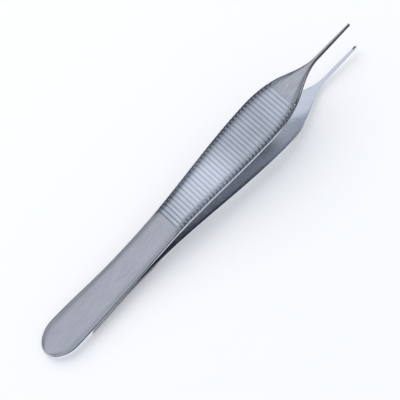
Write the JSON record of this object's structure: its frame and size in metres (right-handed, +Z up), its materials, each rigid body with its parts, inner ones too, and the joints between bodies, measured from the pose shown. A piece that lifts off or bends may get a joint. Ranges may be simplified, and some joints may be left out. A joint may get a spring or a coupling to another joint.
{
  "type": "thumb forceps",
  "caption": "Spring-arm tissue forceps with ridged finger grips, slender shanks and toothed tips, welded at the heel and lying on one arm.",
  "frame": {"origin": "middle of the bounding box on the surface that the forceps lies on", "axes": "+X from the heel to the tips, +Z up out of the outer face of the upper arm, +Y across the arms; the lower arm touches the surface at the heel and at the belly before the shoulder"},
  "size_m": [0.1202, 0.013, 0.0172],
  "materials": {
    "satin_steel": "satin ground outside, polished along the edges and inner faces"
  },
  "bodies": {
    "root": {"upper_arm": "satin_steel", "lower_arm": "satin_steel"}
  },
  "joints": []
}
